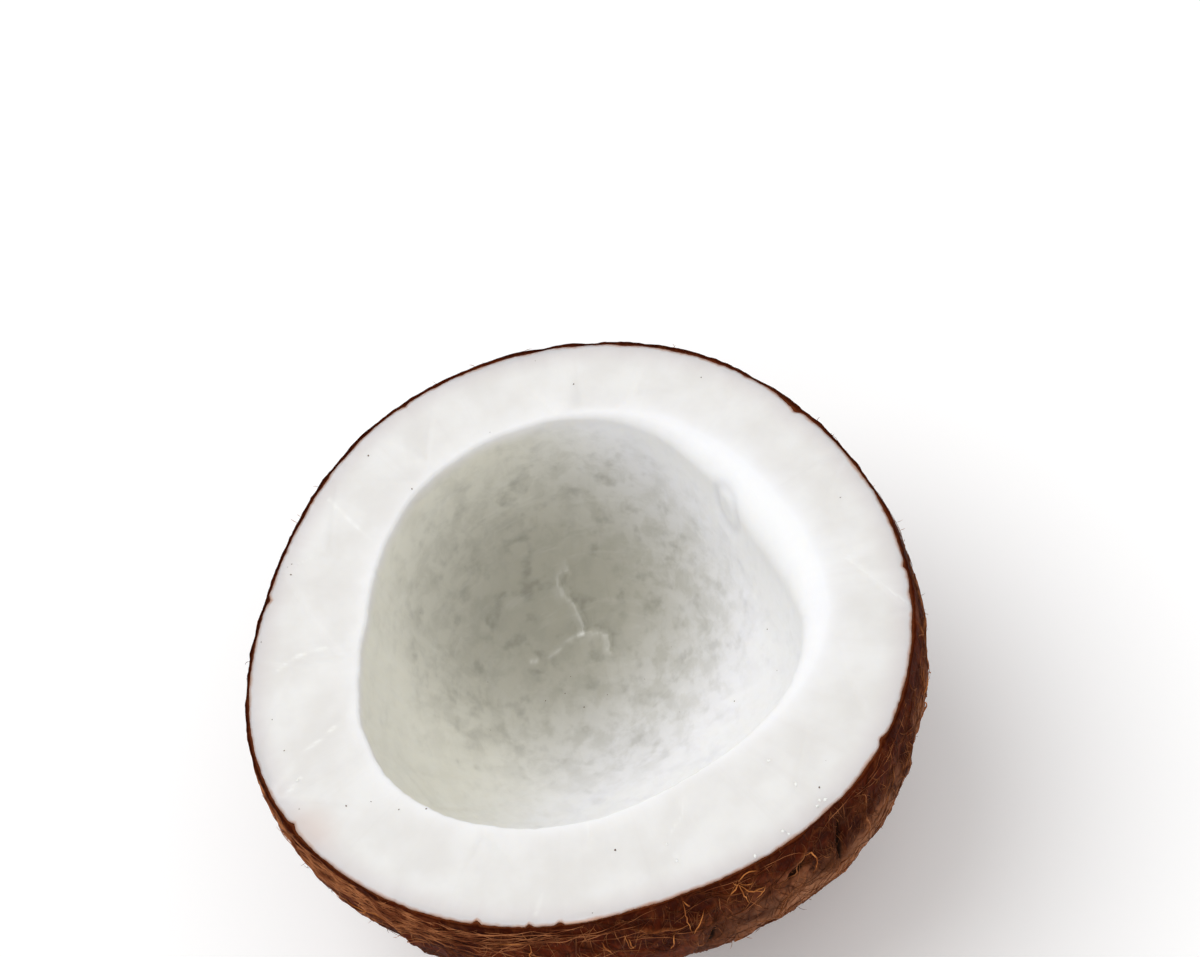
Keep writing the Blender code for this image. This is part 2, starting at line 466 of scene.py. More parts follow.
def near_line(place, tree, strengths, half_width):
    """How much of a line is here, from 0 to 1, and how far the line is in its half widths."""
    _, number, distance = tree.find(place)
    aside = distance / half_width
    return strengths[number] * math.exp(-aside * aside), aside


def fold_crest(point):
    """How near the crest of a small fold is: the folds join in a net, longer down than round."""
    place = Vector((point.x / (4.6 * MM), point.y / (4.6 * MM), point.z / (12 * MM)))
    place += 0.9 * noise.noise_vector(point / (8 * MM))
    return max(0.0, 1 - 4 * abs(noise.noise(place)))


def skin_outside(angle, share):
    point, out = outside_point(angle, share)
    fold = fold_crest(point)
    crack, aside = near_line(point, crack_tree, crack_strength, CRACK_HALF_WIDTH)
    vein, _ = near_line(point, vein_tree, vein_strength, VEIN_HALF_WIDTH)
    pit, _ = near_line(point, pit_tree, pit_strength, PIT_HALF_WIDTH)
    fade = clamp((0.95 - share) / 0.08)
    lip = 0.12 * MM * math.exp(-(aside - 2.2) ** 2)
    relief = solid_relief(angle, share)
    relief += fade * (VEIN_HEIGHT * vein * (1 - crack) - CRACK_DEPTH * crack + lip)
    relief += fade * (0.15 * noise.noise(point * 420) + 0.11 * noise.noise(point * 1100)) * MM
    relief += fade * clamp(0.3 + share * 4) * FOLD_HEIGHT * (fold * fold - 0.2)
    relief -= 0.9 * MM * min(1.0, pit)
    soot = math.exp(-(aside / 5) ** 2)
    relief = max(relief, -(0.35 + 0.85 * clamp(share / 0.03)) * MM)  # never down to the flesh
    out.z *= min(1.0, share * 10)
    point += out * relief
    point.z = max(point.z, 0.0)
    return point, (clamp(crack + pit), max(vein, 0.4 * fold), soot, share)


@functools.lru_cache(maxsize=None)
def flesh_radius(angle):
    """The radius of the flesh at the cut: ragged, and just inside the skin."""
    way = Vector((math.cos(angle), math.sin(angle), 0))
    ragged = 0.16 * noise.noise(way * 14) + 0.12 * noise.noise(way * 60 + UP * 5)
    for degrees, half_width, height in NICKS:
        aside = math.degrees(math.remainder(angle - math.radians(degrees), math.tau)) / half_width
        if abs(aside) < 3:
            ragged += height * math.exp(-aside * aside)
    radius = lobed(RIM_RADIUS, RIM_LOBES, angle) - RIM_THICKNESS + ragged * MM
    return min(radius, skin_outside(angle, 0.0)[0].xy.length - 0.25 * MM)


def skin_lip(angle, share):
    """The cut edge of the skin, from its outside to where it meets the flesh."""
    inner = flesh_radius(angle) + 0.04 * MM
    outer = skin_outside(angle, 0.0)[0].xy.length
    radius = outer + (inner - outer) * share
    fray = 0.22 * noise.noise(Vector((math.cos(angle) * 90, math.sin(angle) * 90, share * 2)))
    sink = 0.25 * math.sin(math.pi * clamp(share, 0.1, 0.9)) + 0.12
    height = TOP - (sink - fray) * MM
    return Vector((radius * math.cos(angle), radius * math.sin(angle), height)), (0.0, 0.0, 0.0, -share)


def skin_inside(angle, share):
    point, _ = outside_point(angle, share, SKIN_INSET)
    if share < 0.04:
        inner = flesh_radius(angle) + 0.04 * MM
        mix = share / 0.04
        radius = inner + (point.xy.length - inner) * mix
        point = Vector((radius * math.cos(angle), radius * math.sin(angle), point.z - 0.4 * MM * (1 - mix)))
    return point, (0.0, 0.0, 0.0, share)


outside_rings = steps_down(skin_outside, 144, 1.12)
skin_rings = outside_rings[::-1] + steps_down(skin_lip, 3)[1:] + steps_down(skin_inside, 11, 1.6)[1:]
skin_mesh = rolled_cup(SKIN_AROUND, skin_rings, ("crack", "vein", "soot", "down"))
print("skin:", len(skin_mesh.faces), "faces")

# %% [markdown]
# ## Finish of the skin
# Close to, the skin is layers of dark red-brown and mid-brown blotches, fine fibres along its
# length, paler veins, sooty smudges, and cracks painted near-black as their shade. Each is a mask laid
# over the one before. The fibre pattern is noise squeezed along the half's length, so it shows as streaks.
# Away from the cut the skin is browner and rubbed to a soft sheen, which a thin coat gives it, and
# on the near right a pale down covers it, painted paler still as the rim light that the fuzz catches.

# %% Skin finish
def skin_finish():
    skin = Finish("brown_skin_finish")
    along = skin.stretched(1.0, 0.16)
    streaks = skin.cloud(0.45 * MM, 4, 0.65, along, 0.6)
    threads = skin.cloud(1.1 * MM, 3, 0.6, along, 1.2)
    blotches = skin.cloud(7 * MM, 4, 0.6)
    smudges = skin.cloud(16 * MM, 3, 0.55, skin.stretched(1.0, 0.7))
    leather = skin.cloud(1.6 * MM, 4, 0.6)
    down = skin.layer("down")
    patches = skin.ramp(blotches, 0.35, 0.66)
    red = skin.mix(patches, tint(50, 10, 0), tint(88, 29, 5))
    brown = skin.mix(patches, tint(96, 48, 28), tint(136, 78, 48))
    lower = skin.ramp(down + 0.3 * blotches, 0.3, 0.68)
    colour = skin.mix(lower, red, brown)
    colour = skin.mix(skin.ramp(threads, 0.50, 0.70) * (0.3 + 0.2 * lower), colour, tint(140, 76, 38))
    colour = skin.mix(skin.ramp(streaks, 0.54, 0.36) * 0.55, colour, tint(40, 13, 4))
    colour = skin.mix(skin.ramp(smudges, 0.56, 0.74) * 0.5, colour, tint(38, 18, 9))
    dot = {"operation": "DOT_PRODUCT"}
    # Pale down on the near right: partly its own colour, partly painted rim light caught by the fuzz.
    near_right = skin.node("VectorMath", dot, {0: skin.place, 1: NEAR_RIGHT}, output="Value")
    downy_rim_light = skin.ramp(near_right, 36 * MM, 50 * MM) * skin.ramp(down + 0.4 * blotches, 0.26, 0.5)
    colour = skin.mix(downy_rim_light * (0.4 + 0.8 * threads), colour, tint(172, 118, 84))
    soot = skin.ramp(skin.layer("soot"), 0.1, 0.9) * skin.ramp(blotches, 0.42, 0.62)
    colour = skin.mix(soot * 0.6, colour, tint(36, 17, 9))
    # Painted shade: a band just under the cut is painted a darker red-brown.
    colour = skin.mix(skin.ramp(down + 0.09 * blotches, 0.14, 0.03) * 0.4, colour, tint(52, 14, 2))
    vein = skin.ramp(skin.layer("vein"), 0.18, 0.75)
    colour = skin.mix(vein * 0.55, colour, tint(152, 86, 46))
    # Painted shade: the cracks and the pit are painted near-black, as the shade inside them.
    crack = skin.ramp(skin.layer("crack"), 0.22, 0.7)
    colour = skin.mix(crack * 0.93, colour, tint(18, 7, 4))
    colour = skin.mix(skin.ramp(down, -0.3, -0.9) * 0.5, colour, tint(128, 68, 38))
    skin.set(Base_Color=colour, Roughness=0.5 + 0.3 * streaks + 0.1 * crack)
    skin.set(Specular_IOR_Level=0.02, Coat_Weight=lower * (0.03 + 0.1 * patches), Coat_Roughness=0.42)
    skin.bump(0.4 * streaks + 0.4 * leather + 0.2 * threads, 0.35 * MM, 0.9)
    return skin.material


skin_piece = finish_piece("brown_skin_wrinkled", skin_mesh, skin_finish(), "brown_skin")
skin_tree = BVHTree.FromObject(skin_piece, bpy.context.evaluated_depsgraph_get())


# %% [markdown]
# ## The white flesh
# The flesh is nearly white and lets light in a little way. Its cut face is level but not perfect:
# a knife has left broad facets, its outer edge is torn, and the edge of the hollow is sharp on one
# side and soft on the other. Cutting a sphere with planes would give only clean edges, so this cup
# is rolled too, with its unevenness worked into each ring.

# %% Marks on the cut face and in the hollow
# Places in mm from the middle of the cut, and how deep below it
SCARS = (
    ((-44.4, 11.3), (-41.4, 12.2), (-38.9, 12.2), (-36.4, 11.8)),
    ((-49.0, -10.2), (-47.4, -9.1), (-46.0, -8.1)),
    ((-44.6, -4.1), (-41.4, -3.2), (-38.6, -1.8)),
    ((-28.6, 37.3), (-26.6, 32.1), (-24.4, 27.2)),
    ((-20.0, -43.2), (-18.2, -40.8)),
    ((2.4, -44.5), (1.4, -42.6)),
)
FLAKES = (
    ((2.3, 26.1, -27.8), (0.3, 25.1, -28.9), (1.3, 23.2, -30.6), (1.6, 21.1, -32.2), (2.2, 19.1, -33.5),
     (1.0, 18.2, -34.0), (2.4, 17.9, -34.2), (3.8, 17.5, -34.3), (4.8, 15.8, -35.0), (4.6, 14.6, -35.6)),
)
PALE_LINES = (
    ((20.6, 25.7, -16.7), (22.8, 21.3, -18.6), (24.9, 15.6, -19.8)),
    ((1.0, 18.2, -34.0), (-2.2, 17.4, -34.2), (-5.6, 16.4, -34.5), (-9.0, 16.2, -33.6)),
)
SPOTS = (
    (2.8, 33.2, -17.5), (6.4, 35.0, -11.8), (-23.2, 13.6, -22.3), (-24.9, 0.2, -27.1), (-22.6, -0.7, -29.7),
    (-5.9, 11.0, -36.6), (33.8, -2.2, -5.8), (-24.2, -1.2, -27.6), (21.7, 2.8, -28.7), (12.4, 30.0, -18.5),
)
RING_DENT = Vector((28.2, 12.8, TOP / MM - 6.6)) * MM
RING_RADIUS = 3.1 * MM
RING_SQUEEZE = 0.6  # a height counts for this much of it, so the ring is longer down the wall
RING_DEPTH = 0.3 * MM
# How much painted shade darkens the ring's groove.
RING_SHADE = 0.27
# The wall's grey is partly its own wet colour and partly painted shade, greyest round this middle.
WET_AND_SHADE_MIDDLE = Vector((0, 16, TOP / MM - 22)) * MM  # the middle of the grey in the hollow
WET_AND_SHADE_REACH = (10 * MM, 34 * MM)
BLEED = Vector((-48, -17.5, TOP / MM)) * MM  # where the skin has stained the cut face


def along_marks(marks):
    """A search tree of points along each mark, and the direction of the mark at each."""
    samples = []
    for mark in marks:
        corners = [Vector((*place, 0)[:3]) * MM + UP * TOP for place in mark]
        for first, second in zip(corners, corners[1:]):
            way = (second - first).normalized()
            samples.extend((first.lerp(second, step / 12), way) for step in range(12))
    tree = kdtree.KDTree(len(samples))
    for number, (place, _) in enumerate(samples):
        tree.insert(place, number)
    tree.balance()
    return tree, samples


scar_tree, _ = along_marks(SCARS)
pale_tree, _ = along_marks(PALE_LINES)
flake_tree, flake_samples = along_marks(FLAKES)
spot_tree = kdtree.KDTree(len(SPOTS))
for number, place in enumerate(SPOTS):
    spot_tree.insert(Vector(place) * MM + UP * TOP, number)
spot_tree.balance()

# %% Facets that the knife left
FACETS = 34
facet_rng = random.Random(3)
facet_tree = kdtree.KDTree(FACETS)
facet_levels = []
for number in range(FACETS):
    angle = math.tau * (number + facet_rng.uniform(-0.4, 0.4)) / FACETS
    radius = facet_rng.uniform(38, 50)
    facet_tree.insert(Vector((math.cos(angle), math.sin(angle), 0)) * radius * MM, number)
    facet_levels.append((facet_rng.uniform(-1, 1), facet_rng.uniform(-1, 1), facet_rng.random()))
facet_tree.balance()


def facet(point):
    """The height of the cut face here in mm, and how near a crease between facets it is."""
    (near, first, gap), (_, second, far) = facet_tree.find_n(point * Vector((1, 1, 0)), 2)
    level, tilt, _ = facet_levels[first]
    other, _, sharp = facet_levels[second]
    away = (point - near).xy
    height = 0.05 * level + 0.04 * tilt * away.dot(Vector(near.xy).normalized()) / MM
    seam = (far - gap) / (0.5 * MM)
    crease = math.exp(-seam * seam) * (sharp > 0.5) * abs(level - other)
    crease *= clamp(0.3 + 1.6 * noise.noise(point * 150))
    return height * clamp((far - gap) / MM), crease


# %% Shape of the flesh
FLESH_AROUND = 640
EDGE_ROUND_SMALL = 0.6 * MM
EDGE_ROUND_LARGE = 6.0 * MM
EDGE_SOFT_SIDE = math.radians(5)
EDGE_SOFT_POWER = 3
EDGE_INWARD = 0.7
NEAR_SIDE = math.radians(-70)
# The glow along the hollow's edge is painted light: a whiter base colour, reaching furthest on this side.
GLOW_SIDE = math.radians(22)
GLOW_LEAST = 0.5 * MM  # how far the glow reaches down the wall, all round
GLOW_MORE = 15 * MM  # and how much further on its own side
FLESH_LAYERS = ("edge", "deep", "grey", "mark", "glow")


def edge_round(angle):
    """The radius of the rounding along the hollow's edge."""
    softness = max(0.0, math.cos(angle - EDGE_SOFT_SIDE)) ** EDGE_SOFT_POWER
    return EDGE_ROUND_SMALL + (EDGE_ROUND_LARGE - EDGE_ROUND_SMALL) * softness


def lit(angle):
    """How strong the painted glow along the edge of the hollow is: painted light, whitening the flesh most
    on its soft side.
    """
    return 0.35 + 0.65 * max(0.0, math.cos(angle - EDGE_SOFT_SIDE)) ** 2


def wall_radius(angle):
    """The radius of the hollow just under its rounded edge."""
    ragged = 0.25 * noise.noise(Vector((math.cos(angle), math.sin(angle), 2)) * 7)
    ragged += 0.12 * noise.noise(Vector((math.cos(angle), math.sin(angle), 4)) * 25)
    return lobed(CAVITY_RADIUS, CAVITY_LOBES, angle) - EDGE_INWARD * edge_round(angle) + ragged * MM


def flesh_outside(angle, share):
    point, _ = outside_point(angle, share, FLESH_INSET)
    if share < 0.02:
        mix = share / 0.02
        radius = flesh_radius(angle) + (point.xy.length - flesh_radius(angle)) * mix
        point = Vector((radius * math.cos(angle), radius * math.sin(angle), point.z - 0.3 * MM * (1 - mix)))
    return point, (0.0, 0.0, 0.0, 0.0, 0.0)


def cut_face(angle, share):
    outer = flesh_radius(angle)
    inner = wall_radius(angle) + edge_round(angle)
    radius = outer + (inner - outer) * share
    point = Vector((radius * math.cos(angle), radius * math.sin(angle), TOP))
    edge = (outer - radius) / MM
    scar = math.exp(-(scar_tree.find(point)[2] / (0.38 * MM)) ** 2) * (0.6 + 0.8 * noise.noise(point * 700))
    height, crease = facet(point)
    uneven = height + 0.04 * noise.noise(point * 160) + 0.05 * scar
    flap = math.exp(-((math.degrees(angle) + 106) / 4.5) ** 2 - (edge / 0.9) ** 2)
    fade = clamp(edge) * clamp(share * 30) * clamp((1 - share) * 8)
    point.z += (uneven * fade + 0.4 * flap - 0.14 * math.exp(-edge / 0.22)) * MM
    # Painted glow: the face is whitened along the hollow's edge.
    glow = lit(angle) * math.exp(-(radius - inner) / (1.8 * MM))
    return point, (edge, 0.0, 0.0, clamp(0.75 * scar + 0.4 * crease), glow)


def hollow_edge(angle, share):
    size = edge_round(angle)
    turn = share * math.pi / 2
    radius = wall_radius(angle) + size * (1 - math.sin(turn))
    drop = size * (1 - math.cos(turn))
    across = Vector((math.cos(angle), math.sin(angle), 0))
    point = across * radius + UP * (TOP - drop)
    edge = (flesh_radius(angle) - radius) / MM
    ring = ring_here(point)
    point -= (UP * math.cos(turn) - across * math.sin(turn)) * RING_DEPTH * ring
    return point, (edge, drop / MM, grey_here(point), -RING_SHADE * ring, lit(angle))


def ring_here(point):
    """How near the groove of the ring-shaped dent is."""
    away = point - RING_DENT
    away.z *= RING_SQUEEZE
    aside = (away.length - RING_RADIUS) / MM
    return math.exp(-aside * aside)


def grey_here(point):
    """How grey the wall is, partly its own wet grey and partly painted shade: most round its middle, and
    none far from it.
    """
    low, high = WET_AND_SHADE_REACH
    near = clamp((high - (point - WET_AND_SHADE_MIDDLE).length) / (high - low))
    return near * near * (3 - 2 * near)


def flake_here(point):
    """The height of the torn layer, full on the left of its edge and none on the right, and how
    near its edge is: positive on the layer and negative in the shade beside it."""
    _, number, distance = flake_tree.find(point)
    place, way = flake_samples[number]
    aside = way.cross(UP).dot(point - place)
    ends = 1.0 if distance < 2 * abs(aside) + 0.3 * MM else 0.0
    step = clamp(0.5 + aside / (0.9 * MM))
    edge = (1.8 * step - 0.9) * math.exp(-distance / (1.1 * MM)) * ends
    return step * math.exp(-distance / (3 * MM)), edge


def hollow_wall(angle, share):
    size = edge_round(angle)
    slope = share * math.pi / 2
    taper = 1 + 0.35 * max(0.0, math.cos(angle - NEAR_SIDE))
    radius = wall_radius(angle) * math.cos(slope) ** taper
    across = Vector((math.cos(angle), math.sin(angle), 0))
    depth = size + (CAVITY_DEPTH - size) * math.sin(slope)
    point = across * radius + UP * (TOP - depth)
    inward = -across * math.cos(slope) + UP * math.sin(slope)
    fade = clamp(share * 6) * clamp((1 - share) * 12)
    swell = -0.6 * noise.noise((point - UP * TOP) * 90) * clamp(share * 4) * (share < 1)
    swell += fade * (0.18 * noise.noise(point * 240) + 0.07 * noise.noise(point * 700))
    torn = 0.8 * noise.noise_vector(point * 520) + 0.4 * noise.noise_vector(point * 1900)
    raised, mark = flake_here(point + torn * MM)
    spot = math.exp(-(spot_tree.find(point)[2] / (0.55 * MM)) ** 2)
    pale = math.exp(-(pale_tree.find(point)[2] / (0.5 * MM)) ** 2) * (0.5 + 0.9 * noise.noise(point * 600))
    ring = ring_here(point)
    swell += 0.26 * raised + 0.22 * pale - RING_DEPTH / MM * ring - 0.1 * spot
    mark = 0.7 * mark + 0.55 * pale - RING_SHADE * ring - 0.35 * spot
    # Painted glow: the wall is whitened below the edge, furthest down on the glow's side.
    reach = GLOW_LEAST + GLOW_MORE * max(0.0, math.cos(angle - GLOW_SIDE)) ** 3
    glow = lit(angle) * math.exp(-(share * 1.57 * CAVITY_DEPTH / reach) ** 2)
    return point + inward * swell * MM, (20.0, depth / MM, grey_here(point), mark, glow)


face_rings = steps_down(cut_face, 30, 1.35)
wall_rings = steps_down(hollow_edge, 8)[1:] + steps_down(hollow_wall, 99)[1:]
flesh_rings = steps_down(flesh_outside, 12, 2.0)[::-1] + face_rings + wall_rings
flesh_mesh = rolled_cup(FLESH_AROUND, flesh_rings, FLESH_LAYERS)
print("flesh:", len(flesh_mesh.faces), "faces")

# %% [markdown]
# ## Finish of the flesh
# The cut face is white, a little grey and pink towards the skin, where a thin stain has bled in.
# The hollow has been wet: its wall is a mottled grey-green, partly its own colour and partly painted
# shade that is greyest round its far middle, with painted light whitening its right side and a painted
# glow along its edge. One finish covers both, because they are one body, and the depth that the mesh
# carries tells them apart.

# %% Flesh finish
def flesh_finish():
    flesh = Finish("white_flesh_finish")
    edge = flesh.layer("edge")
    deep = flesh.layer("deep")
    mark = flesh.layer("mark")
    across = flesh.node("VectorMath", {"operation": "MULTIPLY"}, {0: flesh.place, 1: (1, 1, 0)})
    around = flesh.node("VectorMath", {"operation": "NORMALIZE"}, {0: across})
    rays = flesh.cloud(0.05, 4, 0.6, around)
    patches = flesh.cloud(9 * MM, 3, 0.55)
    white = flesh.mix(flesh.ramp(patches, 0.3, 0.7), tint(227, 225, 222), tint(235, 234, 232))
    white = flesh.mix(flesh.ramp(rays, 0.5, 0.75) * 0.25, white, tint(222, 219, 216))
    band = flesh.ramp(edge + 2.0 * rays, 5.6, 0.8)
    white = flesh.mix(band * 0.55, white, tint(212, 203, 202))
    stain = flesh.ramp(edge + 0.9 * flesh.cloud(2.5 * MM, 3), 1.0, 0.35)
    white = flesh.mix(stain * 0.75, white, tint(190, 122, 78))
    away = flesh.node("VectorMath", {"operation": "DISTANCE"}, {0: flesh.place, 1: BLEED}, output="Value")
    bled = flesh.ramp(away + 4 * MM * patches, 9 * MM, 3 * MM)
    white = flesh.mix(bled * 0.35, white, tint(216, 192, 180))
    mottle = flesh.cloud(3.6 * MM, 4, 0.6, None, 0.3)
    spots = flesh.cloud(3.0 * MM, 3, 0.45, flesh.stretched(1.0, 1.2))
    contours = flesh.cloud(3.0 * MM, 3, 0.6, flesh.stretched(0.3, 2.2))
    grey = flesh.layer("grey")
    dot = {"operation": "DOT_PRODUCT"}
    # Painted light: the wall's right side is painted whiter and bluer, as the side the light falls on.
    painted_light_side = flesh.node("VectorMath", dot, {0: flesh.place, 1: (1, -0.6, 0)}, output="Value")
    pale = flesh.mix(flesh.ramp(painted_light_side, -27 * MM, 4 * MM), tint(240, 238, 225), tint(249, 249, 253))
    # The grey of the wall is partly its own wet grey-green and partly painted shade.
    wall_wet_light_and_shade = flesh.mix(grey, pale, tint(173, 170, 155))
    wall_wet_light_and_shade = flesh.mix(flesh.ramp(mottle, 0.60, 0.34) * (0.08 + 0.5 * grey), wall_wet_light_and_shade, tint(166, 164, 150))
    wall_wet_light_and_shade = flesh.mix(flesh.ramp(spots, 0.52, 0.78) * (0.1 + 0.45 * grey), wall_wet_light_and_shade, tint(130, 128, 116))
    wall_wet_light_and_shade = flesh.mix(flesh.ramp(contours, 0.54, 0.72) * 0.08, wall_wet_light_and_shade, tint(240, 240, 235))
    inside = flesh.ramp(deep + 1.2 * patches, 0.7, 4.5)
    colour = flesh.mix(inside, white, wall_wet_light_and_shade)
    # Painted light: the glow along the hollow's edge is painted as near-white.
    colour = flesh.mix(flesh.layer("glow") * 0.8, colour, tint(248, 249, 253))
    colour = flesh.mix(flesh.ramp(mark, 0.0, 1.0) * 0.75, colour, tint(250, 250, 247))
    # Painted shade: a negative mark darkens the wall beside the torn flake and in the ring's groove; the
    # wall's own dark spots share this colour.
    colour = flesh.mix(flesh.ramp(mark, 0.0, -1.0) * 0.7, colour, tint(122, 120, 108))
    flesh.set(Base_Color=colour, Roughness=0.45 - 0.08 * inside)
    flesh.set(Subsurface_Weight=0.8, Subsurface_Radius=(1.0, 0.95, 0.85), Subsurface_Scale=2.8 * MM)
    flesh.set(IOR=1.4, Specular_IOR_Level=0.35)
    grain = flesh.cloud(0.7 * MM, 3, 0.6) * 0.4 + mottle * 0.35 + spots * 0.25
    flesh.bump(grain, 0.12 * MM, 0.5)
    return flesh.material


flesh_piece = finish_piece("white_flesh_cut", flesh_mesh, flesh_finish(), "white_flesh")
flesh_tree = BVHTree.FromObject(flesh_piece, bpy.context.evaluated_depsgraph_get())


# %% [markdown]
# ## Crumbs and specks
# A few crumbs of flesh are stuck along the near edge, and grains of brown skin have fallen on the
# face and in the hollow. Each is a small ball pushed out of round by noise, pressed flat and more
# than half sunk into the flesh. They are too small for their roughness to need more faces. The crumbs
# are painted whiter than the flesh they came from, as painted glints.

# %% Crumbs and specks
CRUMBS = (
    (1.0, -40.6, 0.2), (16.9, -45.4, 0.28), (17.6, -46.1, 0.22), (22.9, -43.7, 0.26), (24.3, -43.2, 0.32),
    (23.5, -43.0, 0.2), (21.3, -39.3, 0.28), (12.0, -47.4, 0.26), (1.4, -43.6, 0.22), (19.1, -34.1, 0.3),
    (-46.6, -8.4, 0.26),
)
SPECKS = (
    (-37.4, 28.5), (-38.1, 26.6), (-40.9, -15.4), (-29.9, -20.8), (-33.7, -19.2), (-6.2, -38.4),
    (24.2, -41.1), (-15.8, 33.5), (14.0, 41.0), (44.8, 3.0), (-45.6, 17.0), (-47.2, -2.6),
    (-20.5, 42.6), (33.0, 33.2),
)


def lump(mesh, place, size, flat, seed):
    """Adds one uneven ball to the mesh, pressed flat onto the surface at this place."""
    made = bmesh.ops.create_icosphere(mesh, subdivisions=2, radius=1.0)
    for vert in made["verts"]:
        way = vert.co.copy()
        way *= 1 + 0.9 * noise.noise(way * 1.6 + UP * seed * 3.7)
        way.x *= 1 + 0.5 * noise.noise(UP * seed)
        way.z *= flat
        vert.co = place + (way - UP * 0.5 * flat) * size


def lump_piece(name, lumps, finish):
    mesh = bmesh.new()
    for seed, (x, y, size, flat) in enumerate(lumps):
        above = Vector((x * MM, y * MM, TOP + 5 * MM))
        place = flesh_tree.ray_cast(above, -UP)[0]
        lump(mesh, place, size * MM, flat, seed)
    bmesh.ops.recalc_face_normals(mesh, faces=mesh.faces)
    return finish_piece(name, mesh, finish)


speck_rng = random.Random(21)
specks = [(x, y, speck_rng.uniform(0.11, 0.17), 0.6) for x, y in SPECKS]
for _ in range(26):
    angle, far = speck_rng.uniform(-math.pi, math.pi), speck_rng.uniform(2, 49.5)
    specks.append((far * math.cos(angle), far * math.sin(angle), speck_rng.uniform(0.05, 0.11), 0.6))
crumb_finish = Finish("crumb_finish")
# Painted glint: the crumbs are whiter than the flesh they came from.
crumb_finish.set(Base_Color=tint(248, 248, 245), Roughness=0.6, Specular_IOR_Level=0.2)
speck_finish = Finish("speck_finish")
speck_finish.set(Base_Color=tint(92, 66, 48), Roughness=0.8, Specular_IOR_Level=0.2)
crumb_lumps = [(x, y, size, 0.3) for x, y, size in CRUMBS]
crumb_piece = lump_piece("flesh_crumbs", crumb_lumps, crumb_finish.material)
speck_piece = lump_piece("skin_specks", specks, speck_finish.material)


# %% [markdown]
# ## Fibres on the skin
# Tan fibres lie on the skin, mostly along its length, and a few curl off it. Hair systems would
# make them quickly but are lost on export, so each fibre here is a thin tapered tube. It is laid
# step by step: each step moves on, drops back onto the skin and turns a little. The veins' crests
# are thinner than the skin's mesh can show, so they are tubes as well, half sunk into the skin.

# %% Lay fibres
FIBRE_STEP = 0.9 * MM
LOWEST = 0.12 * MM  # no fibre goes lower, so none reaches into what the half rests on
TAN_FIBRES = 430
FINE_FIBRES = 2600


def lay_fibre(rng, place, heading, length, curl, lift, step=FIBRE_STEP):
    """Points of a fibre that keeps to the skin, rising by lift in its middle."""
    steps = max(4, round(length / step))
    turn = rng.gauss(0, curl)
    points = []
    for number in range(steps + 1):
        place, normal, _, _ = skin_tree.find_nearest(place)
        if place.z > TOP - 0.3 * MM:
            break
        raised = place + normal * lift * math.sin(math.pi * number / steps)
        raised.z = max(raised.z, LOWEST)
        points.append(raised)
        heading = (heading - normal * heading.dot(normal)).normalized()
        heading.rotate(Matrix.Rotation(turn, 3, normal))
        turn = 0.8 * turn + rng.gauss(0, curl)
        place = place + heading * step
    return points


def surface_frame(angle, share):
    """A place on the smooth outside, and the directions out of it, down it and round it."""
    place, out = outside_point(angle, share)
    round_way = Vector((-math.sin(angle), math.cos(angle), 0))
    return place, out, out.cross(round_way), round_way


def any_place(rng):
    """A random place, as likely on any square millimetre of the outside."""
    rise = rng.uniform(math.sin(CUT_SLOPE), 0.985)
    share = (math.asin(rise) - CUT_SLOPE) / (math.pi / 2 - CUT_SLOPE)
    return surface_frame(rng.uniform(-math.pi, math.pi), share)


def fibre_piece(name, fibres, finish):
    """All fibres as one mesh of thin tubes: each is (points, radius)."""
    curve = bpy.data.curves.new(name, "CURVE")
    curve.dimensions = "3D"
    curve.bevel_depth = 1.0
    curve.bevel_resolution = 0
    curve.use_fill_caps = True
    for points, radius in fibres:
        spline = curve.splines.new("POLY")
        spline.points.add(len(points) - 1)
        for number, (target, place) in enumerate(zip(spline.points, points)):
            taper = min(1.0, 0.25 + 3 * min(number, len(points) - 1 - number) / len(points))
            target.co = (*place, 1)
            target.radius = radius * taper
    holder = bpy.data.objects.new(name + "_path", curve)
    data = bpy.data.meshes.new_from_object(holder)
    data.name = name
    bpy.data.objects.remove(holder)
    data.shade_smooth()
    piece = place_piece(name, data, finish)
    return piece


def thinned(rng, place):
    """Whether to leave a fibre out here: most lie near the cut and on the near right."""
    on_near_right = place.dot(NEAR_RIGHT) > 42 * MM
    return not on_near_right and rng.random() < min(0.75, 1.8 * (TOP - place.z) / TOP)


def raised_veins():
    """The thin crests of the veins, along the same lines as the swellings of the skin."""
    rng = random.Random(4)
    crests = []
    for line, strength in veins:
        points = []
        for angle, share in line[::2]:
            place, normal, _, _ = skin_tree.find_nearest(outside_point(angle, share)[0])
            points.append(place + normal * 0.05 * MM)
            points[-1].z = max(points[-1].z, LOWEST)
        if len(points) > 3 and line[0][1] > 0.02:
            crests.append((points, (0.03 + strength * rng.uniform(0.08, 0.15)) * MM))
    return crests


def tan_fibres():
    rng = random.Random(5)
    fibres = []
    while len(fibres) < TAN_FIBRES:
        place, _, down, around = any_place(rng)
        if noise.noise(place / (12 * MM)) < -0.15 or thinned(rng, place):
            continue
        lean = rng.gauss(0, 0.35) if rng.random() < 0.9 else rng.uniform(-1.5, 1.5)
        heading = down * rng.choice((-1, 1)) + around * lean
        radius = rng.uniform(0.03, 0.08) * MM
        points = lay_fibre(rng, place, heading, rng.uniform(4, 14) * MM, 0.07, radius * 1.2)
        if len(points) > 3:
            fibres.append((points, radius))
    return fibres


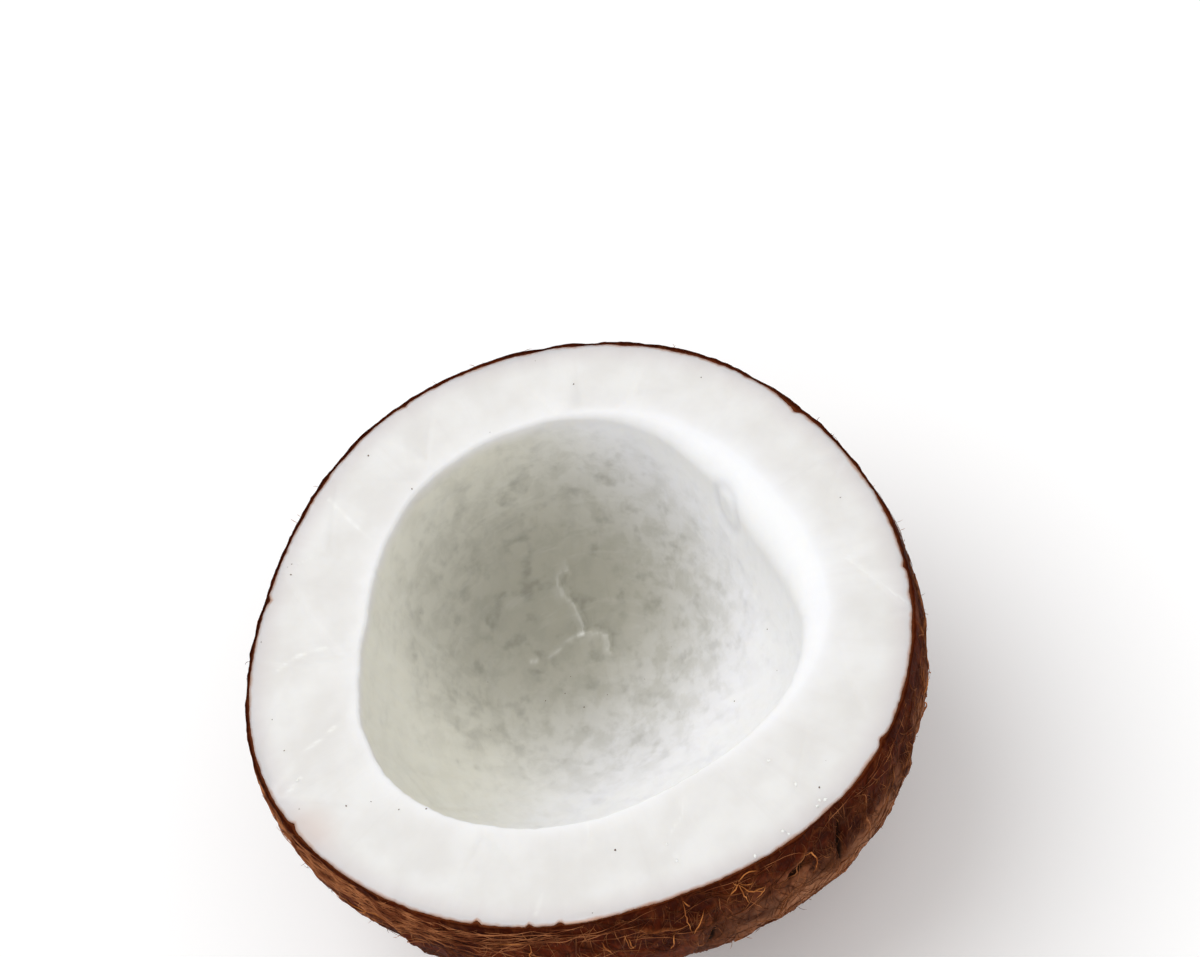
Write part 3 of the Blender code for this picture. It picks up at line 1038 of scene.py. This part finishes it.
def fine_fibres():
    rng = random.Random(8)
    fibres = []
    while len(fibres) < FINE_FIBRES:
        place, _, down, around = any_place(rng)
        if thinned(rng, place):
            continue
        heading = down * rng.choice((-1, 1)) + around * rng.gauss(0, 0.4)
        radius = rng.uniform(0.025, 0.05) * MM
        points = lay_fibre(rng, place, heading, rng.uniform(3, 9) * MM, 0.12, 0.12 * MM)
        if len(points) > 3:
            fibres.append((points, radius))
    return fibres


# %% Tangles, strands along the cut, and stray hairs
LOOSE_TANGLES = 18
EDGE_STRANDS = 360
STRAY_HAIRS = 2600
# Strokes as (degrees, share): the tangles seen below the near edge of the cut
TANGLES = (
    ((-80.5, 0.03), (-80.2, 0.067), (-79.8, 0.113)), ((-80.5, 0.03), (-78.6, 0.068), (-76.3, 0.088)),
    ((-79.3, 0.068), (-77.2, 0.094), (-78.7, 0.109)), ((-80.5, 0.03), (-81.3, 0.012)),
    ((-77.6, 0.097), (-76.2, 0.077)), ((-89.9, 0.012), (-90.4, 0.051), (-90.4, 0.143)),
    ((-87.0, 0.068), (-88.8, 0.103), (-90.4, 0.143)), ((-89.8, 0.012), (-89.0, 0.036)),
    ((-100.9, 0.062), (-100.9, 0.124), (-99.7, 0.123)), ((-100.5, 0.081), (-100.4, 0.137)),
    ((-104.9, 0.07), (-104.2, 0.091), (-104.0, 0.119)), ((-94.9, 0.176), (-93.8, 0.131), (-93.0, 0.105)),
    ((-68.8, 0.046), (-67.5, 0.061), (-67.0, 0.09), (-67.5, 0.124), (-68.5, 0.144)),
)


def traced_fibre(rng, stroke, lift):
    """A fibre through the places of a stroke, lifted off the skin."""
    path = traced(stroke)
    points = []
    for number, (angle, share) in enumerate(path):
        place, normal, _, _ = skin_tree.find_nearest(outside_point(angle, share)[0])
        points.append(place + normal * lift * (0.4 + math.sin(math.pi * number / len(path))))
        points[-1] += noise.noise_vector(place * 400) * 0.15 * MM
    return points, rng.uniform(0.06, 0.12) * MM


def tangles():
    rng = random.Random(13)
    fibres = [traced_fibre(rng, stroke, rng.uniform(0.15, 0.45) * MM) for stroke in TANGLES]
    for _ in range(LOOSE_TANGLES):
        place, _, down, around = any_place(rng)
        for _ in range(rng.randint(2, 4)):
            heading = down * rng.uniform(-1, 1) + around * rng.uniform(-1, 1)
            length, lift = rng.uniform(2, 6) * MM, rng.uniform(0.1, 0.5) * MM
            points = lay_fibre(rng, place, heading, length, 0.2, lift, 0.5 * MM)
            if len(points) > 3:
                fibres.append((points, rng.uniform(0.06, 0.12) * MM))
    return fibres


def edge_strands():
    """Strands that run round the half just under the cut, more of them on its near left."""
    rng = random.Random(17)
    fibres = []
    for number in range(EDGE_STRANDS):
        turn = rng.gauss(-2.6, 0.3) if number % 6 else rng.uniform(-math.pi, math.pi)
        place, _, down, around = surface_frame(turn, 0.008 + abs(rng.gauss(0, 0.055)))
        heading = around * rng.choice((-1, 1)) + down * rng.gauss(0, 0.2)
        points = lay_fibre(rng, place, heading, rng.uniform(4, 13) * MM, 0.05, rng.uniform(0.05, 0.3) * MM)
        if len(points) > 3:
            fibres.append((points, rng.uniform(0.03, 0.07) * MM))
    return fibres


def stray_hairs():
    """Short hairs that stand off the skin and bend over."""
    rng = random.Random(19)
    hairs = []
    for _ in range(STRAY_HAIRS):
        place, out, down, around = any_place(rng)
        place = skin_tree.find_nearest(place)[0]
        if place.z < 4 * MM:
            continue
        heading = out * rng.uniform(0.3, 1.0) + down * rng.gauss(0, 0.7) + around * rng.gauss(0, 0.5)
        bend = down * rng.uniform(-1, 1) + around * rng.uniform(-1, 1) - out * rng.uniform(0.2, 1.0)
        points = [place]
        step = (0.10 + 0.34 * rng.random() ** 4) * MM
        for _ in range(5):
            heading = (heading.normalized() + bend * 0.3).normalized()
            points.append(points[-1] + heading * step)
        hairs.append((points, rng.uniform(0.025, 0.045) * MM))
    return hairs


# %% Fibre finish
def fibre_finish(name, dark, light):
    fibre = Finish(name)
    colour = fibre.mix(fibre.ramp(fibre.cloud(3 * MM, 2), 0.35, 0.65), dark, light)
    fibre.set(Base_Color=colour, Roughness=0.6, Specular_IOR_Level=0.04)
    return fibre.material


tan = fibre_finish("tan_fibre_finish", tint(94, 46, 20), tint(164, 102, 60))
umber = fibre_finish("umber_fibre_finish", tint(66, 26, 9), tint(122, 70, 38))
orange = fibre_finish("orange_fibre_finish", tint(140, 74, 32), tint(210, 134, 72))
straw = fibre_finish("straw_fibre_finish", tint(120, 63, 36), tint(184, 118, 76))
fibre_piece("skin_vein_crests", raised_veins(), tan)
fibre_piece("skin_fibres_tan", tan_fibres(), tan)
fibre_piece("skin_fibres_fine", fine_fibres(), umber)
fibre_piece("skin_tangles", tangles(), orange)
fibre_piece("edge_strands", edge_strands(), straw)
fibre_piece("stray_hairs", stray_hairs(), tan)


# %% [markdown]
# ## Floor, light and camera
# The half stands on a plain white sheet, faintly lit from below. A broad soft light from above,
# behind and to the left gives the hollow its bright right wall, and a white sky fills the shadows.
# The camera looks down at the cut through an 85 mm lens, a little rolled.

# %% Floor
FLOOR_SIZE = 3.0
floor_mesh = bmesh.new()
bmesh.ops.create_grid(floor_mesh, x_segments=1, y_segments=1, size=FLOOR_SIZE)
floor_data = bpy.data.meshes.new("floor")
floor_mesh.to_mesh(floor_data)
floor_mesh.free()
paper = Finish("white_floor_finish")
paper.set(Base_Color=(1.0, 1.0, 1.0, 1), Roughness=0.9, Specular_IOR_Level=0.1)
paper.set(Emission_Color=(1.0, 1.0, 1.0, 1), Emission_Strength=0.05)
floor_data.materials.append(paper.material)
floor = bpy.data.objects.new("floor", floor_data)
bpy.context.scene.collection.objects.link(floor)

# %% Light
KEY_FROM = Vector((-0.36, 0.24, 0.90)).normalized()
KEY_DISTANCE = 2.2
KEY_SIZE = 2.0
KEY_POWER = 20
SKY_STRENGTH = 0.74
rim_centre = UP * TOP

key_data = bpy.data.lights.new("key", "AREA")
key_data.shape = "DISK"
key_data.size = KEY_SIZE
key_data.energy = KEY_POWER
key = bpy.data.objects.new("key", key_data)
key.location = rim_centre + KEY_FROM * KEY_DISTANCE
key.rotation_euler = KEY_FROM.to_track_quat("Z", "Y").to_euler()
bpy.context.scene.collection.objects.link(key)

world = bpy.data.worlds.new("white_sky")
world.use_nodes = True
sky = world.node_tree.nodes["Background"]
sky.inputs["Color"].default_value = (1, 1, 1, 1)
sky.inputs["Strength"].default_value = SKY_STRENGTH
bpy.context.scene.world = world
bpy.context.scene.view_settings.view_transform = "Standard"

# %% Camera
camera_data = bpy.data.cameras.new("camera")
camera_data.lens = 85
camera_data.sensor_width = 36
camera = bpy.data.objects.new("camera", camera_data)
right = Vector((0.93049128, -0.31709086, -0.18341034))
up = Vector((0.36527196, 0.76542625, 0.52981039))
back = Vector((-0.02761094, -0.5599786, 0.82804686))
turned = Matrix((right, up, back)).transposed().to_4x4()
camera.matrix_world = Matrix.Translation(rim_centre + Vector((0, -0.22412, 0.36437))) @ turned
bpy.context.scene.collection.objects.link(camera)
bpy.context.scene.camera = camera
